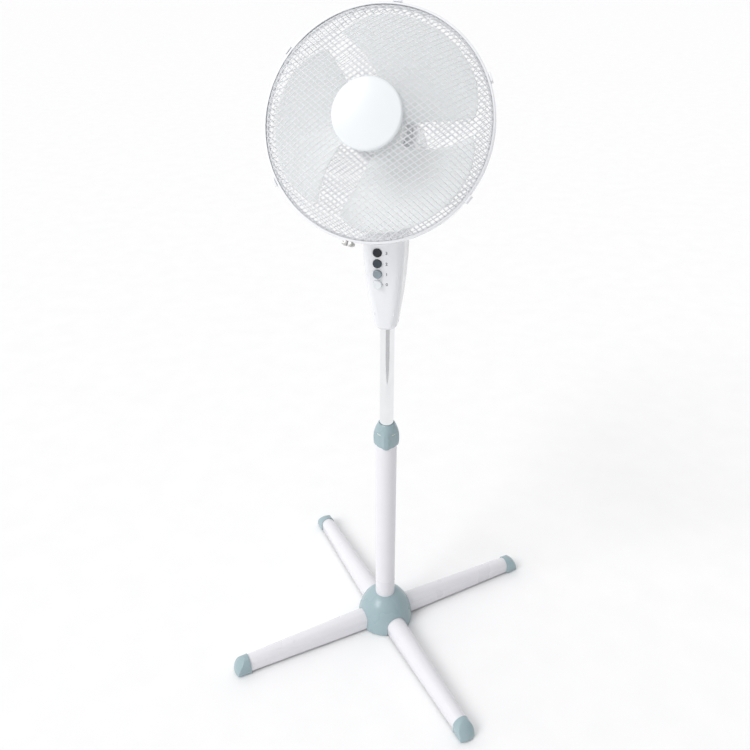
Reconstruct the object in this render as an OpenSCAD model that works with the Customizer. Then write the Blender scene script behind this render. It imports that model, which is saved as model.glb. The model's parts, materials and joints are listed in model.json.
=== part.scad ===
// Pedestal fan: cross base, telescopic column, push-button box, tilting and
// oscillating motor head, three-blade propeller in a domed mesh guard.
// Millimetres, +Z up, the fan looks along -Y, and the column axis is X = Y = 0.

/* [Base] */
// Distance from the column axis to where a foot cap starts
leg_reach = 300; // [240:1:360]
// Width of a leg under the hub
leg_hub_w = 42; // [36:0.5:50]
// Width of a leg at its foot
leg_foot_w = 28; // [22:0.5:34]
// Height of the straight sides of a leg
leg_side_h = 13; // [10:0.5:20]
// Wall of a leg
leg_wall = 1.5; // [1:0.1:2.5]
// Length of a foot cap past the end of its leg
foot_cap_l = 30; // [22:0.5:36]
// Thickness of a rubber foot pad
foot_pad_h = 3; // [2:0.1:5]
// Turn of the cross from the fan's forward direction
base_turn = 39; // [30:1:60]
// Radius of the hub cover at the floor
hub_r = 56; // [50:0.5:70]
// Height of the hub cover's dome
hub_h = 74; // [66:0.5:90]
// Wall of the hub cover
hub_wall = 2.5; // [2:0.1:3.5]

/* [Column] */
// Outside diameter of the outer tube
outer_tube_d = 39; // [36:0.5:44]
// Wall of the outer tube
outer_tube_wall = 1.2; // [0.8:0.1:2]
// Height of the top of the outer tube
outer_tube_top = 474; // [380:1:560]
// Outside diameter of the inner tube
inner_tube_d = 25; // [21:0.5:28]
// Wall of the inner tube
inner_tube_wall = 1; // [0.8:0.1:1.5]
// Visible length of the inner tube between collar and control box
inner_tube_shown = 202; // [160:1:240]
// Length of the inner tube that stands inside the outer tube
inner_tube_hidden = 225; // [200:1:260]
// Height of the locking collar
collar_h = 49; // [42:0.5:60]
// Largest radius of the locking collar
collar_r = 23.6; // [22.5:0.1:28]

/* [Control box] */
// Height of the control box
box_h = 168; // [150:1:200]
// Width of the control box at its top
box_top_w = 65; // [58:0.5:76]
// Width of the control box at its bottom
box_foot_w = 37; // [34:0.5:46]
// How far the top of the box stands forward of the column axis
box_front = 44; // [40:0.5:50]
// How far the box reaches behind the column axis
box_back = 19; // [17:0.5:26]
// Wall of the control box
box_wall = 2.5; // [2:0.1:3.2]
// Diameter of a push-button
button_d = 14; // [12:0.2:15]
// Distance from one push-button to the next
button_pitch = 18; // [17.6:0.1:20]
// Travel of a push-button
button_travel = 4; // [3:0.1:5]

/* [Head] */
// Tilt of the fan above level as it stands
head_tilt = 25; // [0:1:30]
// Height of the tilt pin above the top of the control box
pivot_rise = 54; // [44:1:60]
// Height of the motor axis above the tilt pin
axis_rise = 75.5; // [74:0.5:84]
// Distance from the tilt pin forward to the middle of the guard ring
ring_forward = 127; // [122:1:136]
// Outside radius of the motor cover
motor_r = 47; // [46:0.5:50]
// Outside radius of the guard ring
guard_r = 160.5; // [150:0.5:190]
// Depth of the front grille in front of the ring
front_depth = 64; // [54:0.5:74]
// Depth of the rear grille behind the ring
rear_depth = 46; // [43:0.5:48]
// Distance from one grille wire to the next
wire_pitch = 24; // [20:0.5:40]
// Thickness of a grille wire
wire_t = 1.3; // [1:0.1:1.8]
// Radius of the propeller
blade_r = 146; // [130:0.5:149]
// Radius of the propeller's hub
blade_hub_r = 36; // [30:0.5:44]
// Radius of the centre cap
cap_r = 47; // [40:0.5:54]

/* [Fits] */
// Radial clearance of a shaft that turns in its bush
running = 0.06; // [0.03:0.01:0.1]
// Gap between pieces that move past each other
gap = 0.4; // [0.3:0.05:0.8]
// Gap between pieces that are fitted together and stay put
seat = 0.1; // [0.05:0.05:0.3]

/* [Hidden] */
eps = 0.01;
white = [0.92, 0.93, 0.94];
accent = [0.62, 0.72, 0.75];
steel = [0.72, 0.73, 0.75];
brass = [0.80, 0.66, 0.36];
dark = [0.16, 0.17, 0.2];

// Heights of the base, from the floor up
leg_z = 2 * foot_pad_h;
leg_axis_z = leg_z + leg_side_h;
leg_seat_z = leg_axis_z + leg_hub_w / 2 - 3;
lap_z = leg_z + 14;
seat_half = outer_tube_d / 2 + 6;
// Column
outer_tube_r = outer_tube_d / 2;
outer_bore_r = outer_tube_r - outer_tube_wall;
inner_tube_r = inner_tube_d / 2;
back_reach = max(box_back, inner_tube_r + box_wall + 4);
shaft_rise = max(axis_rise, motor_r + 28.5);
inner_bore_r = inner_tube_r - inner_tube_wall;
plug_flange_h = 2;
outer_tube_z = leg_seat_z + plug_flange_h;
plug_h = 24;
bush_flange_h = 3;
finger_h = 13;
collar_top = outer_tube_top + 21;
collar_z = collar_top - collar_h;
box_z = collar_top + inner_tube_shown - 4;
box_top = box_z + box_h;
inner_tube_z = outer_tube_top - inner_tube_hidden;
inner_tube_top = box_z + 24;
glide_h = 14;
bolt_r = 3.9;
// Control box
pivot_z = box_top + pivot_rise;
button_r = button_d / 2;
flange_r = button_r + 1.4;
flange_y = -box_front + box_wall + 5.2;
button_x = -8;
button_top_z = box_top - 25;
button_names = 4;
stem_r = 3;
switch_front_y = -box_front + 19;
switch_depth = 12;
// Tilt hinge, in its own frame with the tilt pin at the origin
tongue_half = 7;
ear_t = 5;
tilt_pin_r = 4;
bracket_floor = 12;
sleeve_r = 7;
sleeve_top = 30;
pivot_pin_r = 4;
// Oscillation linkage, seen from above with the pivot pin at the origin
stud_x = 15;
crank_y = 26;
crank_r = 7.7;
link_l = 29;
link_z = 19.5;
link_t = 2.5;
crank_pin_r = 2.2;
link_eye_r = 5;
boss_foot = 31;
case_floor = 40;
// Gear train, sizes follow one tooth module
tooth_module = 1;
worm_teeth = 20;
pinion_teeth = 13;
drive_teeth = 44;
worm_r = 4;
worm_wave = 0.85;
worm_pitch = PI * tooth_module;
worm_x = worm_r + tooth_module * worm_teeth / 2 + 0.3;
gear_distance = tooth_module * (pinion_teeth + drive_teeth) / 2 + 0.15;
worm_y = crank_y - sqrt(gear_distance ^ 2 - worm_x ^ 2);
drive_z = 47;
drive_h = 5;
crank_shaft_r = 3;
// Motor, along the shaft with the pivot pin's axis at zero
shaft_r = 4;
motor_back = 20;
motor_front = ring_forward - rear_depth - 7;
stator_r = 39;
cover_wall = 2.2;
cover_back = -56;
// Guard
rim_r = guard_r - 4.5;
rim_wire = 1.8;
ring_half = 6;
grille_hub_r = 40;
mesh_turn = 36;
clip_turns = [25, 85, 145, 212, 326];
lock_turn = 261;
hub_back = ring_forward - rear_depth + 11;
hub_front = hub_back + 36;
blade_count = 3;

// A ring or tube: outer radius, inner radius, height
module tube(r_out, r_in, h) {
  difference() {
    cylinder(h = h, r = r_out);
    translate([0, 0, -eps]) cylinder(h = h + 2 * eps, r = r_in);
  }
}

// ---------- base ----------

// Solid outline of one crossing leg bar, half of it past each side of the column
module leg_shape(reach, grow = 0, from_z = leg_z) {
  w_hub = leg_hub_w + 2 * grow;
  w_foot = leg_foot_w + 2 * grow;
  w_end = w_hub + (w_foot - w_hub) * reach / leg_reach;
  intersection() {
    for (s = [0, 180])
      rotate([0, 0, s]) translate([0, 0, leg_axis_z]) rotate([0, 90, 0])
        cylinder(h = reach, r1 = w_hub / 2, r2 = w_end / 2);
    translate([-reach, -w_hub, leg_axis_z]) cube([2 * reach, 2 * w_hub, w_hub]);
  }
  translate([0, 0, from_z]) linear_extrude(leg_axis_z - from_z)
    polygon([[-reach, -w_end / 2], [0, -w_hub / 2], [reach, -w_end / 2],
             [reach, w_end / 2], [0, w_hub / 2], [-reach, w_end / 2]]);
}

leg_end = leg_reach + foot_cap_l - 22;

module leg_channel() {
  difference() {
    leg_shape(leg_end);
    translate([0, 0, -eps]) leg_shape(leg_end + 1, -leg_wall, leg_z - 1);
    translate([-seat_half, -leg_hub_w, leg_seat_z]) cube([2 * seat_half, 2 * leg_hub_w, leg_hub_w]);
  }
  intersection() {
    leg_shape(leg_end);
    translate([-seat_half - leg_wall, -leg_hub_w / 2, leg_seat_z - leg_wall])
      cube([2 * seat_half + 2 * leg_wall, leg_hub_w, leg_wall]);
  }
}

module leg_bar_upper() {
  color(white) rotate([0, 0, base_turn - 90]) difference() {
    leg_channel();
    translate([-leg_hub_w / 2 - gap, -leg_hub_w, 0])
      cube([leg_hub_w + 2 * gap, 2 * leg_hub_w, lap_z + gap / 2]);
    cylinder(h = leg_seat_z + 1, r = bolt_r + gap);
  }
}

module leg_bar_lower() {
  color(white) rotate([0, 0, base_turn]) difference() {
    leg_channel();
    translate([-leg_hub_w / 2 - gap, -leg_hub_w, lap_z - gap / 2])
      cube([leg_hub_w + 2 * gap, 2 * leg_hub_w, leg_hub_w]);
  }
}

// Sleeve with a rounded end that closes one leg
module foot_cap(turn) {
  wall = 1.6;
  end_r = 34;
  full = leg_reach + foot_cap_l;
  color(accent) rotate([0, 0, base_turn - 90 + turn]) difference() {
    intersection() {
      leg_shape(full, wall, foot_pad_h);
      translate([leg_reach, -leg_hub_w, 0]) cube([foot_cap_l, 2 * leg_hub_w, 3 * leg_hub_w]);
      translate([full - end_r, 0, foot_pad_h]) sphere(r = end_r, $fn = 96);
    }
    intersection() {
      leg_shape(full, seat, leg_z - seat);
      translate([0, -leg_hub_w, 0]) cube([leg_end + gap, 2 * leg_hub_w, 3 * leg_hub_w]);
    }
    translate([leg_reach + foot_cap_l / 2 - 3, 0, 0]) cylinder(h = leg_z, r = 2.5 + seat);
  }
}

module foot_pads() {
  pad_r = 9;
  color(dark) for (k = [0 : 3])
    rotate([0, 0, base_turn - 90 + 90 * k]) translate([leg_reach + foot_cap_l / 2 - 3, 0, 0]) {
      cylinder(h = foot_pad_h, r1 = pad_r - 1, r2 = pad_r);
      cylinder(h = leg_z - seat, r = 2.5);
    }
}

// Dome that hides the crossing: each leg leaves through its own arched mouth
module base_hub() {
  steps = 14;
  dome_z = leg_z;
  top_r = outer_tube_r + seat;
  last = acos(top_r / hub_r);
  inner_r = hub_r - hub_wall;
  inner_h = hub_h - hub_wall;
  last_in = acos(top_r / inner_r);
  color(accent) difference() {
    rotate_extrude() polygon(concat(
      [[hub_r, 1.5], [hub_r, dome_z]],
      [for (k = [1 : steps]) let (a = last * k / steps) [hub_r * cos(a), dome_z + hub_h * sin(a)]],
      [for (k = [steps : -1 : 1]) let (a = last_in * k / steps)
        [inner_r * cos(a), dome_z + inner_h * sin(a)]],
      [[inner_r, dome_z], [inner_r, 1.5]]));
    for (turn = [0, 90]) rotate([0, 0, base_turn + turn]) leg_shape(2 * hub_r, gap, 0);
  }
}

// Dished steel plate under the crossing, its cup keeps the bolt head off the floor
module clamp_plate() {
  plate_r = leg_hub_w / 2 + 11;
  color(steel) rotate_extrude() polygon([
    [bolt_r + gap, leg_z + 6], [12, leg_z + 6], [12, leg_z - 2], [plate_r, leg_z - 2],
    [plate_r, leg_z - seat], [14, leg_z - seat], [14, leg_z + 8], [bolt_r + gap, leg_z + 8]]);
}

module base_bolt() {
  head_h = 5;
  color(steel) {
    translate([0, 0, leg_z + 6 - head_h - seat]) cylinder(h = head_h, r = 7, $fn = 6);
    translate([0, 0, leg_z + 5]) cylinder(h = leg_seat_z + plug_h - leg_z - 7, r = bolt_r);
  }
}

module tube_plug() {
  color(steel) difference() {
    union() {
      translate([0, 0, leg_seat_z]) cylinder(h = plug_flange_h, r = outer_tube_r);
      translate([0, 0, leg_seat_z]) cylinder(h = plug_h, r = outer_bore_r - seat);
    }
    translate([0, 0, leg_seat_z - 1]) cylinder(h = plug_h + 2, r = bolt_r + seat);
  }
}

// ---------- column ----------

module outer_tube() {
  color(white) translate([0, 0, outer_tube_z])
    tube(outer_tube_r, outer_bore_r, outer_tube_top - outer_tube_z);
}

// Sleeve in the mouth of the outer tube, with split fingers that grip the inner tube
module guide_bush() {
  depth = 40;
  bore = inner_tube_r + running;
  finger_z = outer_tube_top + bush_flange_h;
  color("white") difference() {
    rotate_extrude() polygon([
      [bore, outer_tube_top - depth], [outer_bore_r - seat, outer_tube_top - depth],
      [outer_bore_r - seat, outer_tube_top], [outer_tube_r, outer_tube_top],
      [outer_tube_r, finger_z], [inner_tube_r + 3.6, finger_z],
      [inner_tube_r + 1.8, finger_z + finger_h], [bore, finger_z + finger_h]]);
    for (turn = [0, 90]) rotate([0, 0, turn]) translate([-outer_tube_r, -0.75, finger_z + 1])
      cube([2 * outer_tube_r, 1.5, finger_h]);
  }
}

// Outline of the collar: height above its foot and radius, both as shares
function collar_levels() = [[0, 0.9], [0.1, 0.965], [0.24, 0.995], [0.4, 1], [0.56, 0.96], [0.7, 0.88],
                            [0.82, 0.785], [0.92, 0.69], [1, 0.615]];

// Bulb with four soft flats, screwed down over the fingers to lock the height
module locking_collar() {
  bore = outer_tube_r + gap;
  rim = inner_tube_r + gap;
  step_z = outer_tube_top + bush_flange_h + gap;
  grip_z = step_z + finger_h;
  flat_w = 2 * collar_r - 3.2;
  slice = 0.1;
  color(accent) difference() {
    hull() for (level = collar_levels())
      translate([0, 0, collar_z + level[0] * (collar_h - slice)]) linear_extrude(slice) intersection() {
        circle(r = level[1] * collar_r, $fn = 40);
        rotate([0, 0, base_turn - 91]) square(flat_w, center = true);
      }
    translate([0, 0, collar_z - 1]) cylinder(h = step_z - collar_z + 1, r = bore);
    translate([0, 0, step_z - eps]) cylinder(h = finger_h + eps, r1 = inner_tube_r + 3.6 + gap, r2 = rim + 1.4);
    translate([0, 0, grip_z - 1]) cylinder(h = collar_top, r = rim);
  }
}

module tube_glide() {
  color("white") difference() {
    union() {
      translate([0, 0, inner_tube_z - glide_h]) cylinder(h = glide_h - seat, r = outer_bore_r - running);
      translate([0, 0, inner_tube_z - glide_h]) cylinder(h = glide_h + 12, r = inner_bore_r - running);
    }
    translate([0, 0, inner_tube_z - glide_h - 1]) cylinder(h = glide_h + 14, r = 7);
  }
}

module inner_tube() {
  color(steel) translate([0, 0, inner_tube_z])
    tube(inner_tube_r, inner_bore_r, inner_tube_top - inner_tube_z);
}

// Post on the inner tube: it carries the control box and the tilt hinge's tongue
module neck_post() {
  post_r = 12;
  color(white) {
    difference() {
      union() {
        translate([0, 0, inner_tube_top - 34]) cylinder(h = 34, r = inner_bore_r - seat);
        translate([0, 0, inner_tube_top]) cylinder(h = 6, r = inner_tube_r + 0.9);
        translate([0, 0, inner_tube_top]) cylinder(h = box_top + 14 - inner_tube_top, r = post_r);
        translate([-tongue_half, -10, box_top]) cube([2 * tongue_half, 20, pivot_rise]);
        translate([-tongue_half, 0, pivot_z]) rotate([0, 90, 0]) cylinder(h = 2 * tongue_half, r = 10);
      }
      translate([-tongue_half - 1, 0, pivot_z]) rotate([0, 90, 0])
        cylinder(h = 2 * tongue_half + 2, r = tilt_pin_r + seat / 2);
      translate([0, 0, inner_tube_top - 35]) cylinder(h = box_top - inner_tube_top + 20, r = 6);
    }
  }
}

// ---------- control box ----------

// One level of the box: height, width, front and back
function box_levels() = let (w = box_top_w, f = box_front, d = box_foot_w)
  [[0, d - 6, f - 22, back_reach - 5], [5, d, f - 18, back_reach - 3],
   [0.36 * box_h, 0.45 * d + 0.55 * w, f - 8, back_reach - 1],
   [0.56 * box_h, 0.2 * d + 0.8 * w, f - 3.5, back_reach],
   [0.78 * box_h, w - 0.5, f, back_reach], [box_h - 5, w, f + 0.5, back_reach],
   [box_h, w - 8, f - 4, back_reach - 4]];

module box_shape(inset) {
  hull() for (level = box_levels()) {
    z = min(max(level[0], inset), box_h - inset);
    half = level[1] / 2 - inset;
    corner = min(13, half - 1);
    for (sx = [-1, 1]) {
      translate([sx * (half - corner), -level[2] + inset + corner, box_z + z])
        cylinder(h = 0.2, r = corner, $fn = 32);
      translate([sx * (half - corner), level[3] - inset - corner, box_z + z])
        cylinder(h = 0.2, r = corner, $fn = 32);
    }
  }
}

function button_z(k) = button_top_z - k * button_pitch;

// Screw places of the box: sideways and up from its foot
box_screw_at = [for (sx = [-1, 1]) each [[sx * (box_top_w / 2 - 8.5), 0.62 * box_h], [sx * 15.5, 0.2 * box_h]]];

module box_shell() {
  difference() {
    box_shape(0);
    box_shape(box_wall);
    translate([0, 0, box_z - 1]) cylinder(h = 20, r = inner_tube_r + seat);
    translate([0, 0, box_top - 20]) cylinder(h = 22, r = 12 + seat);
  }
}

module control_box_front() {
  color(white) difference() {
    union() {
      intersection() {
        box_shell();
        translate([-box_top_w, -2 * box_front, box_z - 1]) cube([2 * box_top_w, 2 * box_front, box_h + 2]);
      }
      for (p = box_screw_at) translate([p[0], -box_front + 20, box_z + p[1]]) rotate([-90, 0, 0])
        cylinder(h = box_front - 20, r = 3.2);
      for (p = box_screw_at) translate([p[0] - 1, -box_front + (p[1] < box_h / 2 ? 14 : 4), box_z + p[1] - 3])
        cube([2, 20, 6]);
    }
    for (p = box_screw_at) translate([p[0], -box_front + 21, box_z + p[1]]) rotate([-90, 0, 0])
      cylinder(h = box_front, r = 1.4);
    for (k = [0 : button_names - 1]) translate([button_x, -box_front - 5, button_z(k)])
      rotate([-90, 0, 0]) cylinder(h = 14, r = button_r + gap);
    for (k = [0 : button_names - 1]) translate([button_x, flange_y - gap, button_z(k)])
      rotate([-90, 0, 0]) cylinder(h = 14, r = flange_r + gap);
  }
}

module control_box_back() {
  color(white) difference() {
    union() {
      intersection() {
        box_shell();
        translate([-box_top_w, seat / 2, box_z - 1]) cube([2 * box_top_w, box_top_w, box_h + 2]);
      }
      for (p = box_screw_at) translate([p[0], seat / 2, box_z + p[1]]) rotate([-90, 0, 0])
        cylinder(h = back_reach - box_wall, r = 3.4);
    }
    for (p = box_screw_at)
      translate([p[0], 0, box_z + p[1]]) rotate([-90, 0, 0]) {
        translate([0, 0, -1]) cylinder(h = 2 * back_reach, r = 1.7);
        translate([0, 0, 4]) cylinder(h = 2 * back_reach, r = 2.9);
      }
    translate([0, back_reach - 8, box_z + 22]) rotate([-90, 0, 0]) cylinder(h = 20, r = 4.5);
  }
}

module box_screws() {
  color(steel) for (p = box_screw_at)
    translate([p[0], 0, box_z + p[1]]) rotate([-90, 0, 0]) {
      translate([0, 0, -9]) cylinder(h = 14, r = 1.35);
      translate([0, 0, 4 + seat]) cylinder(h = 2, r = 2.7);
    }
}

module switch_block() {
  low = button_z(button_names - 1) - 11;
  color(dark) difference() {
    translate([button_x - 12, switch_front_y, low]) cube([24, switch_depth, button_z(0) + 11 - low]);
    for (k = [0 : button_names - 1]) translate([button_x, switch_front_y - 1, button_z(k)])
      rotate([-90, 0, 0]) cylinder(h = switch_depth - 1, r = stem_r + running);
  }
}

module run_capacitor() {
  color(dark) translate([12.5, -25, box_z + 0.5 * box_h]) cylinder(h = 44, r = 6);
}

// Cap, flange behind the panel and stem of one push-button
module push_button(k, tint) {
  face_y = -box_front - 2.4 + (k > 1 ? (k - 1) * 0.7 : 0);
  color(tint) translate([button_x, 0, button_z(k)]) rotate([-90, 0, 0]) {
    translate([0, 0, face_y + 1]) cylinder(h = flange_y - face_y, r = button_r);
    translate([0, 0, face_y]) cylinder(h = 1, r1 = button_r - 1, r2 = button_r);
    translate([0, 0, flange_y]) cylinder(h = 1.6, r = flange_r);
    translate([0, 0, flange_y]) cylinder(h = switch_front_y - flange_y + switch_depth - 2 - button_travel,
                                         r = stem_r);
  }
}

// ---------- tilt hinge and oscillation linkage ----------

// Frame of the tilting head: origin at the tilt pin, +Y back, +Z square to the motor axis
module tilt_frame() {
  translate([0, 0, pivot_z]) rotate([-head_tilt, 0, 0]) children();
}

module tilt_bracket() {
  ear_r = 12;
  near = tongue_half + gap;
  color(white) tilt_frame() difference() {
    union() {
      for (x = [-near - ear_t, near]) {
        translate([x, 0, 0]) rotate([0, 90, 0]) cylinder(h = ear_t, r = ear_r);
        translate([x, -ear_r, 0]) cube([ear_t, 2 * ear_r, bracket_floor + 4]);
      }
      translate([-near - ear_t, -ear_r, bracket_floor])
        cube([stud_x + 6 + near + ear_t, 2 * ear_r, 4]);
      translate([0, 0, bracket_floor]) cylinder(h = sleeve_top - bracket_floor, r = sleeve_r);
      translate([stud_x, 0, bracket_floor]) cylinder(h = link_z - gap - bracket_floor, r = link_eye_r);
      translate([stud_x, 0, bracket_floor]) cylinder(h = link_z + link_t + 1 - bracket_floor, r = 2.5);
    }
    translate([0, 0, bracket_floor - 1]) cylinder(h = sleeve_top, r = pivot_pin_r + running);
    translate([-near - ear_t - 1, 0, 0]) rotate([0, 90, 0])
      cylinder(h = 2 * (near + ear_t) + 2, r = tilt_pin_r + running);
  }
}

module tilt_pin() {
  side = tongue_half + gap + ear_t;
  color(steel) tilt_frame() rotate([0, 90, 0]) {
    translate([0, 0, -side - 4]) cylinder(h = 2 * side + 16, r = tilt_pin_r);
    translate([0, 0, -side - 4]) cylinder(h = 4 - gap, r = 7, $fn = 6);
  }
}

// Winged hand knob on the thread of the tilt pin
module tilt_knob() {
  start = tongue_half + gap + ear_t + gap;
  color(accent) tilt_frame() rotate([0, 90, 0]) translate([0, 0, start]) difference() {
    union() {
      cylinder(h = 14, r = 9);
      translate([0, 0, 4]) for (a = [20 : 60 : 320]) rotate([0, 0, a])
        translate([8, 0, 0]) cylinder(h = 8, r = 2.6);
    }
    translate([0, 0, -1]) cylinder(h = 13, r = tilt_pin_r + running);
  }
}

// Link between the bracket's stud and the crank pin; its crank end has a wide eye
function crank_pin_angle() = let (c = sqrt(stud_x ^ 2 + crank_y ^ 2))
  atan2(-crank_y, stud_x) + acos((crank_r ^ 2 + c ^ 2 - link_l ^ 2) / (2 * crank_r * c));
crank_pin_x = crank_r * cos(crank_pin_angle());
crank_pin_y = crank_y + crank_r * sin(crank_pin_angle());
open_eye_r = crank_pin_r + 2.8;

module link_arm() {
  a = atan2(crank_pin_y, crank_pin_x - stud_x);
  color(steel) tilt_frame() translate([stud_x, 0, link_z]) rotate([0, 0, a]) difference() {
    union() {
      cylinder(h = link_t, r = link_eye_r);
      translate([0, -2, 0]) cube([link_l, 4, link_t]);
      translate([link_l, 0, 0]) cylinder(h = link_t, r = open_eye_r + 2.5);
    }
    translate([0, 0, -1]) cylinder(h = link_t + 2, r = 2.5 + running);
    translate([link_l, 0, -1]) cylinder(h = link_t + 2, r = open_eye_r);
  }
}

// ---------- gearbox ----------

case_half = worm_x + 13.7;
case_back = crank_y + 25.5;
case_front = -13.5;
case_top = shaft_rise + 10;
case_wall = 2;

module case_outline(inset) {
  half = case_half - inset;
  back = case_back - inset;
  polygon([[-half, case_front + inset], [half, case_front + inset], [half, back - 12],
           [half - 12, back], [12 - half, back], [-half, back - 12]]);
}

// The gearbox is trimmed to the room inside the rear cover
module case_room(inset) {
  translate([0, 0, shaft_rise]) rotate([90, 0, 0]) rotate_extrude()
    cover_profile(cover_wall + gap + inset, motor_back);
}

module gearbox_case() {
  color(steel) tilt_frame() difference() {
    union() {
      intersection() {
        translate([0, 0, case_floor]) linear_extrude(case_top - case_floor) case_outline(0);
        case_room(0);
      }
      translate([0, 0, sleeve_top + gap]) cylinder(h = case_floor + 1 - sleeve_top - gap, r = 9);
      translate([0, crank_y, boss_foot]) cylinder(h = case_floor + 1 - boss_foot, r = 7);
    }
    difference() {
      intersection() {
        translate([0, 0, case_floor + 3]) linear_extrude(case_top) case_outline(case_wall);
        case_room(case_wall);
      }
      translate([0, 0, case_floor]) cylinder(h = 5, r = 9);
      translate([worm_x, worm_y, case_floor]) cylinder(h = 5, r = 5);
    }
    translate([0, 0, sleeve_top - 1]) cylinder(h = 13, r = pivot_pin_r + seat / 2);
    translate([0, crank_y, boss_foot - 1]) cylinder(h = 20, r = crank_shaft_r + running);
    translate([worm_x, worm_y, case_floor + 1.5]) cylinder(h = 12, r = 2 + running);
    translate([0, case_front - 1, shaft_rise]) rotate([-90, 0, 0]) cylinder(h = 5, r = 9);
  }
}

module gearbox_lid() {
  color(steel) tilt_frame() difference() {
    union() {
      intersection() {
        translate([0, 0, case_top + seat]) linear_extrude(2.5) case_outline(0);
        case_room(0);
      }
      translate([worm_x, worm_y, case_top - 5]) cylinder(h = 6, r = 5);
    }
    translate([0, crank_y, case_top - 1]) cylinder(h = 8, r = crank_shaft_r + running);
    translate([worm_x, worm_y, case_top - 6]) cylinder(h = 5, r = 2 + running);
  }
}

module pivot_pin() {
  color(steel) tilt_frame() translate([0, 0, bracket_floor + 1])
    cylinder(h = sleeve_top + 11 - bracket_floor, r = pivot_pin_r);
}

// Spur gear outline with straight-sided teeth
module gear_2d(teeth, thin = 0.12) {
  pitch_r = teeth * tooth_module / 2;
  root_r = pitch_r - 1.2 * tooth_module;
  tip_r = pitch_r + 0.85 * tooth_module;
  half = PI * tooth_module / 4 - thin;
  circle(r = root_r);
  for (k = [0 : teeth - 1]) rotate([0, 0, 360 * k / teeth])
    polygon([[root_r - 0.5, -1.45 * half], [pitch_r, -half], [tip_r, -0.45 * half],
             [tip_r, 0.45 * half], [pitch_r, half], [root_r - 0.5, 1.45 * half]]);
}

// Worm wheel and pinion, one moulding on an upright pin
module worm_gear() {
  wheel_r = worm_x - worm_r;
  tip_r = wheel_r + 0.5;
  root_r = worm_x - worm_r - worm_wave - gap;
  mesh = atan2(crank_y - worm_y, -worm_x);
  color("white") tilt_frame() translate([worm_x, worm_y, 0]) {
    translate([0, 0, shaft_rise - 1.2]) linear_extrude(2.4) {
      circle(r = root_r);
      for (k = [0 : worm_teeth - 1]) rotate([0, 0, 180 + 360 * k / worm_teeth])
        polygon([[root_r - 0.5, -0.75], [tip_r, -0.2], [tip_r, 0.2], [root_r - 0.5, 0.75]]);
    }
    translate([0, 0, drive_z]) cylinder(h = shaft_rise - drive_z, r = 4.6);
    translate([0, 0, drive_z - 0.5]) linear_extrude(drive_h + 1) rotate([0, 0, mesh])
      gear_2d(pinion_teeth);
    translate([0, 0, case_floor + 2]) cylinder(h = case_top - 3.5 - case_floor, r = 2);
  }
}

module drive_gear() {
  mesh = atan2(worm_y - crank_y, worm_x);
  color("white") tilt_frame() translate([0, crank_y, drive_z]) difference() {
    union() {
      linear_extrude(drive_h) rotate([0, 0, mesh + 180 / drive_teeth]) gear_2d(drive_teeth);
      translate([0, 0, -2]) cylinder(h = 18, r = 6);
    }
    translate([0, 0, -3]) cylinder(h = 22, r = crank_shaft_r + running);
  }
}

// Disc with its pin under the gearbox and the upright shaft that it hangs on
module crank() {
  color(steel) tilt_frame() {
    translate([0, crank_y, 24.5]) cylinder(h = boss_foot - gap - 24.5, r = crank_r + 4);
    translate([0, crank_y, 25]) cylinder(h = case_top + 14 - 25, r = crank_shaft_r);
    translate([crank_pin_x, crank_pin_y, link_z - 1]) cylinder(h = 7, r = crank_pin_r);
  }
}

// Pull-up knob over the top of the crank shaft
module clutch_knob() {
  foot = case_top + 3.5;
  head = shaft_rise + motor_r + 3;
  color(accent) tilt_frame() translate([0, crank_y, 0]) difference() {
    union() {
      translate([0, 0, foot]) cylinder(h = head + 3 - foot, r = 4.6);
      translate([0, 0, head]) cylinder(h = 12, r1 = 8.5, r2 = 7.5);
      translate([0, 0, head + 12]) cylinder(h = 3, r1 = 9.5, r2 = 8.5);
    }
    translate([0, 0, foot - 1]) cylinder(h = case_top + 17 - foot, r = crank_shaft_r + running);
  }
}

// ---------- motor ----------

// Frame of the motor and guard: +Z forward along the shaft, +Y up
module shaft_frame() {
  tilt_frame() translate([0, 0, shaft_rise]) rotate([90, 0, 0]) children();
}

module motor_end(z, thick, facing) {
  difference() {
    union() {
      translate([0, 0, z]) cylinder(h = thick, r = stator_r + 3);
      translate([0, 0, z - (facing > 0 ? 0 : 6)]) cylinder(h = thick + 6, r = 12);
    }
    translate([0, 0, z - 7]) cylinder(h = thick + 14, r = 7.5 + seat);
    for (a = [45 : 90 : 315]) rotate([0, 0, a]) translate([27, 0, z - 1]) cylinder(h = thick + 2, r = 6);
    for (a = [0 : 90 : 270]) rotate([0, 0, a]) translate([stator_r - 1, 0, z - 1])
      cylinder(h = thick + 2, r = 2);
  }
}

end_t = 4;
rear_end_z = motor_back - 5;
front_end_z = motor_front - 12;

module motor_end_rear() {
  color(steel) shaft_frame() motor_end(rear_end_z, end_t, 1);
}

module motor_end_front() {
  color(steel) shaft_frame() {
    motor_end(front_end_z, end_t, -1);
    translate([0, 0, front_end_z + end_t]) tube(22, 12, motor_front + 8 - front_end_z - end_t);
  }
}

stator_z = rear_end_z + end_t + 9;
stator_l = front_end_z - stator_z - 9;

module stator_core() {
  color(steel) shaft_frame() translate([0, 0, stator_z]) linear_extrude(stator_l) difference() {
    circle(r = stator_r);
    circle(r = 20);
    for (a = [0 : 22.5 : 337.5]) rotate([0, 0, a]) translate([24, 0]) {
      translate([-5, -0.8]) square([6, 1.6]);
      translate([0, -2.2]) square([7, 4.4]);
    }
    for (a = [0 : 90 : 270]) rotate([0, 0, a]) translate([stator_r - 1, 0]) circle(r = 2);
  }
}

module stator_coils() {
  color(brass) shaft_frame() for (z = [stator_z - 7.5, stator_z + stator_l + seat])
    translate([0, 0, z]) rotate_extrude() translate([21.5, 0]) polygon([
      [2, 0], [8, 0], [10, 2], [10, 5.4], [8, 7.4], [2, 7.4], [0, 5.4], [0, 2]]);
}

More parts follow.
